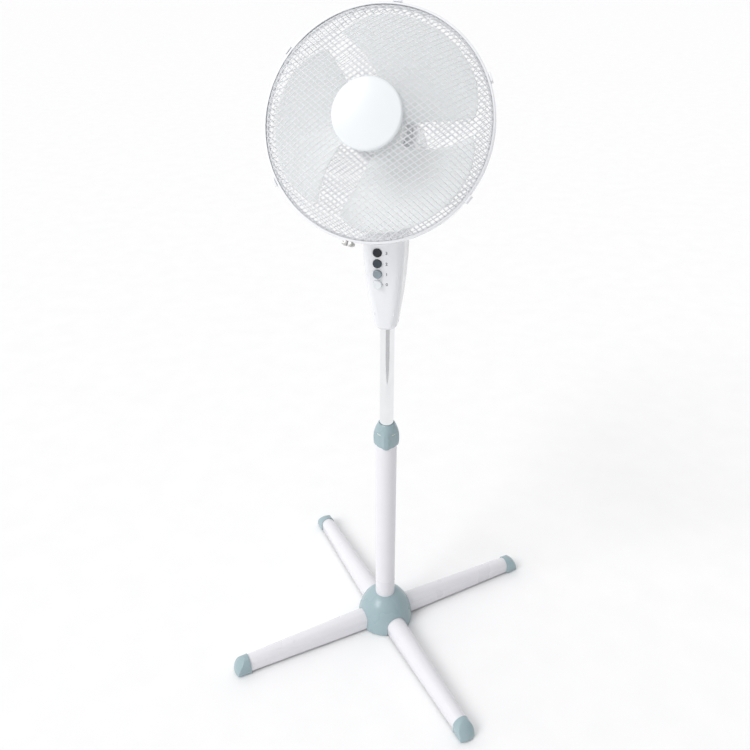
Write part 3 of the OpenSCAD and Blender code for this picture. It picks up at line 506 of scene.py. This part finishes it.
SLOT_MATERIALS = {
    "white_paint": WHITE_ENAMEL, "wire_coat": WIRE_COAT, "white_plastic": WHITE_GLOSS,
    "accent_plastic": BLUE_GREY, "pad_rubber": PAD_RUBBER, "zinc_steel": ZINC, "chrome_tube": CHROME,
    "lamination": LAMINATION, "die_cast": DIE_CAST, "sinter_bronze": BRONZE, "copper_winding": WINDING,
    "nylon": NYLON, "dark_plastic": DARK_PLASTIC, "blade_plastic": BLADE,
    "button_black": BUTTON_COLOURS["button_high"], "button_slate": BUTTON_COLOURS["button_medium"],
    "button_grey": BUTTON_COLOURS["button_low"], "button_white": BUTTON_COLOURS["button_off"],
}

slot_of = {part["node"]: part["material_slot"] for part in frame["record"]["subparts"]}
body_of = {node: body for body, members in frame["record"]["behaviour"]["bodies"].items() for node in members}

for node, obj in nodes.items():
    obj.data.materials.clear()
    obj.data.materials.append(SLOT_MATERIALS[slot_of[node]])
    smooth(obj, 30)


def refine(node, bevel=0.4 * MM, angle=32, segments=2):
    """Shows a refined copy of a CAD node in its place."""
    slot = slot_of[node]
    obj = refined(node, "fine_" + node, bevel, angle, segments)
    return piece(obj, body_of[node], slot, SLOT_MATERIALS[slot], node)


# ---------------------------------------------------------------- base

for node in ("leg_bar_upper", "leg_bar_lower"):
    refine(node, 0.5 * MM, 30, 2)
for number in range(1, 5):
    refine(f"foot_cap_{number}", 0.7 * MM, 30, 3)
refine("base_hub", 0.6 * MM, 34, 2)
refine("foot_pads", 0.5 * MM, 30, 2)

# ---------------------------------------------------------------- column


def straight_tube(name, node, lip):
    """A drawn tube with rounded ends."""
    low, high = span(node)
    thickest_wall = 2 * MM
    outer = reach(node)
    bore = min(v.co.to_2d().length for v in nodes[node].data.vertices)
    inner = max(bore, outer - thickest_wall)
    profile = [(inner, low.z + lip), (inner + lip, low.z), (outer - lip, low.z), (outer, low.z + lip),
               (outer, high.z - lip), (outer - lip, high.z), (inner + lip, high.z), (inner, high.z - lip),
               (inner, low.z + lip)]
    return smooth(turned(name, profile, 128), 40)


piece(straight_tube("painted_tube", "outer_tube", 0.3 * MM), "base", "white_paint", WHITE_ENAMEL,
      "outer_tube")
piece(straight_tube("chromed_tube", "inner_tube", 0.25 * MM), "column", "chrome_tube", CHROME, "inner_tube")


def collar():
    """Bulb with four flats that meet in vertical ridges, open at its top and bottom."""
    low, high = span("locking_collar")
    full = reach("locking_collar")
    tall = high.z - low.z
    levels = [(0.0, 0.86), (0.02, 0.9), (0.1, 0.965), (0.24, 0.997), (0.4, 1.0), (0.56, 0.965), (0.7, 0.893),
              (0.82, 0.8), (0.92, 0.7), (0.985, 0.635), (1.0, 0.61)]
    scallop = 2.2 * MM
    clearance = 0.4 * MM
    rim = reach("inner_tube") + clearance
    bore = reach("outer_tube") + clearance
    inside = [(rim, high.z), (rim, high.z - 8 * MM), (bore, high.z - 20 * MM), (bore, low.z + 3 * MM)]
    ridge = math.radians(-80)
    quarter = math.pi / 2
    sides = 96
    last = len(levels) + len(inside)

    def skin(angle, row):
        """Radius and height on the flats. The lowest two rows rise in the middle of each flat."""
        share, size = levels[row]
        off = (angle - ridge + quarter / 2) % quarter - quarter / 2
        square = math.cos(quarter / 2) / math.cos(abs(off) - quarter / 2)
        weight = min(1.0, 0.55 + 2.5 * share, max(0.0, 2.9 - 3.5 * share))
        radius = full * size * (1 - weight * (1 - min(square * 1.16, 1.0)))
        rise = scallop * (1 - math.cos(2 * off) ** 4) if row < 2 else 0
        return radius, low.z + share * tall + rise

    def point(side, row):
        row %= last
        angle = math.tau * side / sides
        radius, height = skin(angle, row) if row < len(levels) else inside[row - len(levels)]
        return (radius * math.cos(angle), radius * math.sin(angle), height)
    return smooth(formed("grip_collar", sides, last + 1, point), 26)


piece(collar(), "collar", "accent_plastic", BLUE_GREY, "locking_collar")

# ---------------------------------------------------------------- control box

panel = refine("control_box_front", 0.35 * MM, 24, 2)
refine("control_box_back", 0.35 * MM, 24, 2)

# ---------------------------------------------------------------- push-buttons


def button(node):
    """Round cap with a dished face, its skirt, flange and stem."""
    low, high = span(node)
    middle = (low + high) / 2
    height = high.y - low.y
    rings = sorted({(round(v.co.y - low.y, 5), round(math.hypot(v.co.x - middle.x, v.co.z - middle.z), 5))
                    for v in nodes[node].data.vertices})
    flange = max(radius for _, radius in rings)
    stem = max(radius for depth, radius in rings if depth > height - 0.1 * MM)
    cap_r = max(radius for _, radius in rings if radius < flange - 0.5 * MM)
    skirt = min(depth for depth, radius in rings if radius > flange - 0.1 * MM)
    flange_back = skirt + 1.6 * MM
    profile = [(0, 0.4 * MM), (3.4 * MM, 0.3 * MM), (5.3 * MM, 0.12 * MM), (cap_r - MM, 0),
               (cap_r - 0.5 * MM, 0.08 * MM), (cap_r - 0.15 * MM, 0.4 * MM), (cap_r, 0.95 * MM),
               (cap_r, skirt), (flange, skirt), (flange, flange_back), (stem, flange_back),
               (stem, height - 0.4 * MM), (stem - 0.4 * MM, height), (0, height)]
    obj = smooth(turned("cap_" + node, profile, 48), 40)
    centre = Vector((middle.x, low.y, middle.z))
    inward = axes_frame(centre, (0, 0, 1), (0, 1, 0))
    return lay(obj, inward)


for node, material in BUTTON_COLOURS.items():
    piece(button(node), body_of[node], slot_of[node], material, node)


def numeral(text, node, right):
    """A printed figure beside a button, set flush on the panel."""
    low, high = span(node)
    ink = 0.12 * MM
    deselect()
    bpy.ops.object.text_add()
    obj = bpy.context.active_object
    obj.data.body = text
    obj.data.size = 7 * MM
    obj.data.extrude = ink
    obj.data.offset = ink
    obj.data.align_x = "CENTER"
    obj.data.align_y = "CENTER"
    bpy.ops.object.convert(target="MESH")
    start = Vector(((low.x + high.x) / 2 + right, -200 * MM, (low.z + high.z) / 2))
    _, place, normal, _ = panel.ray_cast(start, Vector((0, 1, 0)))
    obj = lay(started("figure_" + text), axes_frame(place, (0, 0, 1), normal))
    return outward(obj)


for text, node in zip("3210", BUTTON_COLOURS):
    piece(numeral(text, node, 14.5 * MM), "column", "dark_plastic", INK)

# ---------------------------------------------------------------- guard

RIM_WIRE = 1.8 * MM


def dome(radius, rim, depth):
    """Depth of a grille at a distance from its axis: a flat face with rolled sides."""
    return depth * (1 - min(1.0, radius / rim) ** 2.6) ** 0.62


def add_line(curve, points):
    """One straight-sided run of wire through the points."""
    if len(points) < 2:
        return
    line = curve.splines.new("POLY")
    line.points.add(len(points) - 1)
    for spot, place in zip(line.points, points):
        spot.co = (*place, 1)


def mesh_dome(name, node, base, depth, sign, hub):
    """Two layers of crossing wires pressed into a dome. Each wire ends on the rim or the hub plate."""
    rim = reach(node, SHAFT) - RIM_WIRE
    pitch = 6.4 * MM
    wire = 0.62 * MM
    crossing = 1.6 * wire
    steps = 30
    lines = bpy.data.curves.new(name, "CURVE")
    lines.dimensions = "3D"
    lines.bevel_depth = wire
    lines.bevel_resolution = 0
    lines.use_fill_caps = True
    count = int((rim - 4 * MM) / pitch)
    for layer, lean in enumerate((math.radians(36), math.radians(-36))):
        along = Vector((math.cos(lean), math.sin(lean)))
        across = Vector((-along.y, along.x))
        lift = -sign * layer * crossing
        for k in range(-count, count + 1):
            offset = k * pitch
            half = math.sqrt(rim ** 2 - offset ** 2)
            points = []
            for j in range(-steps, steps + 1):
                t = half * math.sin(0.5 * math.pi * j / steps)
                flat = across * offset + along * t
                if flat.length < hub:
                    if points:
                        add_line(lines, points)
                    points = []
                    continue
                points.append((flat.x, flat.y, base + sign * dome(flat.length, rim + 0.2 * MM, depth) + lift))
            add_line(lines, points)
    obj = bpy.data.objects.new(name, lines)
    bpy.context.scene.collection.objects.link(obj)
    choose(obj)
    bpy.ops.object.convert(target="MESH")
    return smooth(bpy.context.active_object, 60)


def hoop(name, radius, thick, height):
    """A round wire bent into a circle."""
    deselect()
    bpy.ops.mesh.primitive_torus_add(major_radius=radius, minor_radius=thick, major_segments=144,
                                     minor_segments=10, location=(0, 0, height))
    return smooth(started(name), 60)


ring_low, ring_high = span("guard_ring", SHAFT)
RING = (ring_low.z + ring_high.z) / 2
front_low, front_high = span("front_grille", SHAFT)
rear_low, rear_high = span("rear_grille", SHAFT)
rim_middle = reach("front_grille", SHAFT) - RIM_WIRE


def front_guard():
    """The domed mesh in front of the blades, with the plate that carries the centre cap."""
    base = front_low.z + RIM_WIRE
    depth = front_high.z - base - 0.7 * MM
    wires = mesh_dome("front_wires", "front_grille", base, depth, 1, 30 * MM)
    parts = [wires, hoop("rim", rim_middle, RIM_WIRE, base)]
    plate = turned("plate", [(0, base + depth - 3 * MM), (38 * MM, base + depth - 3 * MM),
                             (39 * MM, base + depth - 2.4 * MM), (38 * MM, base + depth - 1.4 * MM),
                             (0, base + depth - 1.4 * MM)], 64)
    return lay(joined([*parts, smooth(plate)], "front_mesh_guard"), SHAFT)


def rear_guard():
    """The domed mesh behind the blades, with a plate round the motor's nose."""
    base = rear_high.z - RIM_WIRE
    depth = base - rear_low.z - 0.7 * MM
    bore = 22.2 * MM
    wires = mesh_dome("rear_wires", "rear_grille", base, depth, -1, 36 * MM)
    back = base - depth
    parts = [wires, hoop("rim", rim_middle, RIM_WIRE, base)]
    plate = turned("plate", [(bore, back + 1.2 * MM), (40 * MM, back + 1.2 * MM), (41 * MM, back + 2 * MM),
                             (40 * MM, back + 3 * MM), (bore, back + 3 * MM), (bore, back + 1.2 * MM)], 64)
    return lay(joined([*parts, smooth(plate)], "rear_mesh_guard"), SHAFT)


piece(front_guard(), "head", "wire_coat", WIRE_COAT, "front_grille")
piece(rear_guard(), "head", "wire_coat", WIRE_COAT, "rear_grille")
refine("guard_ring", 0.5 * MM, 30, 3)
refine("guard_clips", 0.5 * MM, 30, 3)
refine("ring_screw", 0.3 * MM, 30, 2)
refine("grille_nut", 0.6 * MM, 30, 2)


def cap():
    """Domed centre cap with a rounded rim and a shallow groove inside it."""
    low, high = span("centre_cap", SHAFT)
    radius = reach("centre_cap", SHAFT)
    tall = high.z - low.z
    outline = [(0, low.z), (radius - 1.2 * MM, low.z), (radius - 0.2 * MM, low.z + 0.6 * MM),
               (radius, low.z + 2.0 * MM)]
    for k in range(1, 8):
        a = math.radians(12.5 * k)
        outline.append((radius - 3.6 * MM * (1 - math.cos(a)),
                        low.z + 2 * MM + (tall - 4.2 * MM) * math.sin(a)))
    edge = radius - 4.6 * MM
    for k in range(0, 9):
        r = edge * (1 - k / 8)
        outline.append((r, high.z - 2.1 * MM + 2.0 * MM * (1 - (r / edge) ** 2)))
    return lay(smooth(turned("domed_cap", outline, 128), 50), SHAFT)


piece(cap(), "head", "white_plastic", CAP_GLOSS, "centre_cap")

# ---------------------------------------------------------------- propeller

BLADE_R = reach("propeller", SHAFT)


def blade(root, middle):
    """One wide blade: a grid bent into a pitched, cupped sheet, then thickened."""
    deselect()
    bpy.ops.mesh.primitive_grid_add(x_subdivisions=28, y_subdivisions=26, size=2)
    obj = started("blade")
    for vertex in obj.data.vertices:
        u = (vertex.co.x + 1) / 2
        v = (vertex.co.y + 1) / 2
        lead = 20 + 54 * u - 17 * u * u
        trail = -44 - 16 * u + 9 * u * u
        angle = math.radians(trail + (lead - trail) * v)
        radius = root + (BLADE_R - root) * u - 14 * MM * u ** 4 * (2 * v - 1) ** 4
        rise = (0.5 - v) * (30 - 8 * u) * MM - 3 * MM * math.sin(math.pi * v) - 12 * MM * u * u
        vertex.co = (radius * math.cos(angle), radius * math.sin(angle), middle - rise)
    modify(obj, "SOLIDIFY", thickness=2 * MM, offset=0)
    soften(obj, 0.7 * MM, 2, 60)
    return smooth(outward(obj), 50)


def propeller():
    """Hub cup with three blades."""
    hub_r = 36 * MM
    base = RING - 35 * MM
    top = base + 36 * MM
    bore = 4.1 * MM
    outline = rounded([(bore, base + 1 * MM), (10 * MM, base + 1 * MM), (10 * MM, top - 4 * MM),
                       (hub_r - 5 * MM, top - 4 * MM), (hub_r - 4 * MM, base), (hub_r, base),
                       (hub_r - 1.4 * MM, top), (bore, top), (bore, base + 1 * MM)], 3 * MM)
    body = smooth(turned("hub", outline, 96), 40)
    first = blade(hub_r - 4 * MM, base + 18 * MM)
    others = [copied(first, Matrix.Rotation(math.radians(a), 4, "Z"), "blade") for a in (60, 180, 300)]
    bpy.data.objects.remove(first)
    return lay(joined([body, *others], "three_blade_propeller"), SHAFT)


piece(propeller(), "rotor", "blade_plastic", BLADE, "propeller")
refine("spinner_nut", 0.5 * MM, 30, 2)

# ---------------------------------------------------------------- motor head and hinge

for node in ("motor_cover_rear", "motor_cover_front"):
    refine(node, 0.5 * MM, 30, 2)
for node in ("tilt_bracket", "tilt_knob", "tilt_pin", "clutch_knob", "crank", "link_arm", "cover_screws",
             "neck_post"):
    refine(node, 0.35 * MM, 30, 2)

# ---------------------------------------------------------------- floor, lights and camera


def matt(name, scale, dark, light, rough, **sockets):
    """A matt stage surface with a faint unevenness of tone."""
    material, tree, shader = surface(name, **sockets)
    skin = group_node(tree, GRAIN, Scale=scale)
    tree.links.new(toned(tree, skin.outputs["Mask"], dark, light), shader.inputs["Base Color"])
    shader.inputs["Roughness"].default_value = rough
    return material


def floor():
    """A wide pale floor just under the foot pads."""
    deselect()
    bpy.ops.mesh.primitive_plane_add(size=90, location=(0, 0, -0.5 * MM))
    ground = started("studio_floor")
    ground.data.materials.append(matt("studio floor", 30.0, (0.94, 0.94, 0.945), (0.96, 0.96, 0.965), 0.75,
                                      Specular_IOR_Level=0.2))


def room():
    """Even white light all round that falls off towards +X."""
    world = bpy.data.worlds.new("soft studio")
    bpy.context.scene.world = world
    world.use_nodes = True
    back = world.node_tree.nodes["Background"]
    back.inputs["Strength"].default_value = 0.95
    tree = world.node_tree
    where = tree.nodes.new("ShaderNodeTexCoord")
    parts = tree.nodes.new("ShaderNodeSeparateXYZ")
    tree.links.new(where.outputs["Generated"], parts.inputs[0])
    side = tree.nodes.new("ShaderNodeMapRange")
    side.inputs["From Min"].default_value = -0.2
    side.inputs["From Max"].default_value = 0.9
    tree.links.new(parts.outputs["X"], side.inputs["Value"])
    mix = colour_mix(tree)
    mix.inputs[COLOUR_A].default_value = (1.0, 1.0, 1.0, 1)
    mix.inputs[COLOUR_B].default_value = (0.3, 0.3, 0.31, 1)
    tree.links.new(side.outputs["Result"], mix.inputs["Factor"])
    tree.links.new(mix.outputs[MIXED], back.inputs["Color"])


def sun(name, toward, strength, softness):
    """A distant lamp in that direction, with a soft edge in degrees."""
    data = bpy.data.lights.new(name, "SUN")
    data.energy = strength
    data.angle = math.radians(softness)
    light = bpy.data.objects.new(name, data)
    bpy.context.scene.collection.objects.link(light)
    light.rotation_euler = Vector(toward).to_track_quat("Z", "Y").to_euler()


def dark_card():
    """A grey card out of view in front of the fan, which gives the chromed tube its dark line."""
    deselect()
    bpy.ops.mesh.primitive_plane_add(size=1, location=(0.30, -0.92, 0.24),
                                     rotation=(math.radians(90), 0, math.radians(18)))
    card = started("studio_card")
    card.scale = (1.15, 0.5, 1)
    bpy.ops.object.transform_apply(location=True, rotation=True, scale=True)
    card.data.materials.append(matt("studio card", 60.0, (0.60, 0.60, 0.61), (0.66, 0.66, 0.67), 0.9))
    card.visible_camera = False
    card.visible_shadow = False


def camera():
    """Stands in front of the fan, a little to its left, and looks down at it."""
    azimuth = math.radians(11.45)
    pitch = math.radians(30.76)
    yaw = math.radians(-1.01)
    distance = 1.1794
    height = 1.295
    toward = Vector((-math.sin(azimuth), math.cos(azimuth), 0))
    side = Vector((math.cos(azimuth), math.sin(azimuth), 0))
    level = math.cos(yaw) * toward + math.sin(yaw) * side
    look = level * math.cos(pitch) + Vector((0, 0, -math.sin(pitch)))
    data = bpy.data.cameras.new("camera")
    data.lens = 37.92
    data.sensor_width = 36
    data.clip_end = 60
    view = bpy.data.objects.new("camera", data)
    bpy.context.scene.collection.objects.link(view)
    view.location = -toward * distance + Vector((0, 0, height))
    view.rotation_euler = look.to_track_quat("-Z", "Y").to_euler()
    bpy.context.scene.camera = view


floor()
room()
sun("key", (-0.62, -0.75, 0.9), 1.15, 28)
sun("back", (0.5, 0.85, 0.6), 0.25, 60)
dark_card()
camera()
bpy.context.scene.view_settings.view_transform = "Standard"
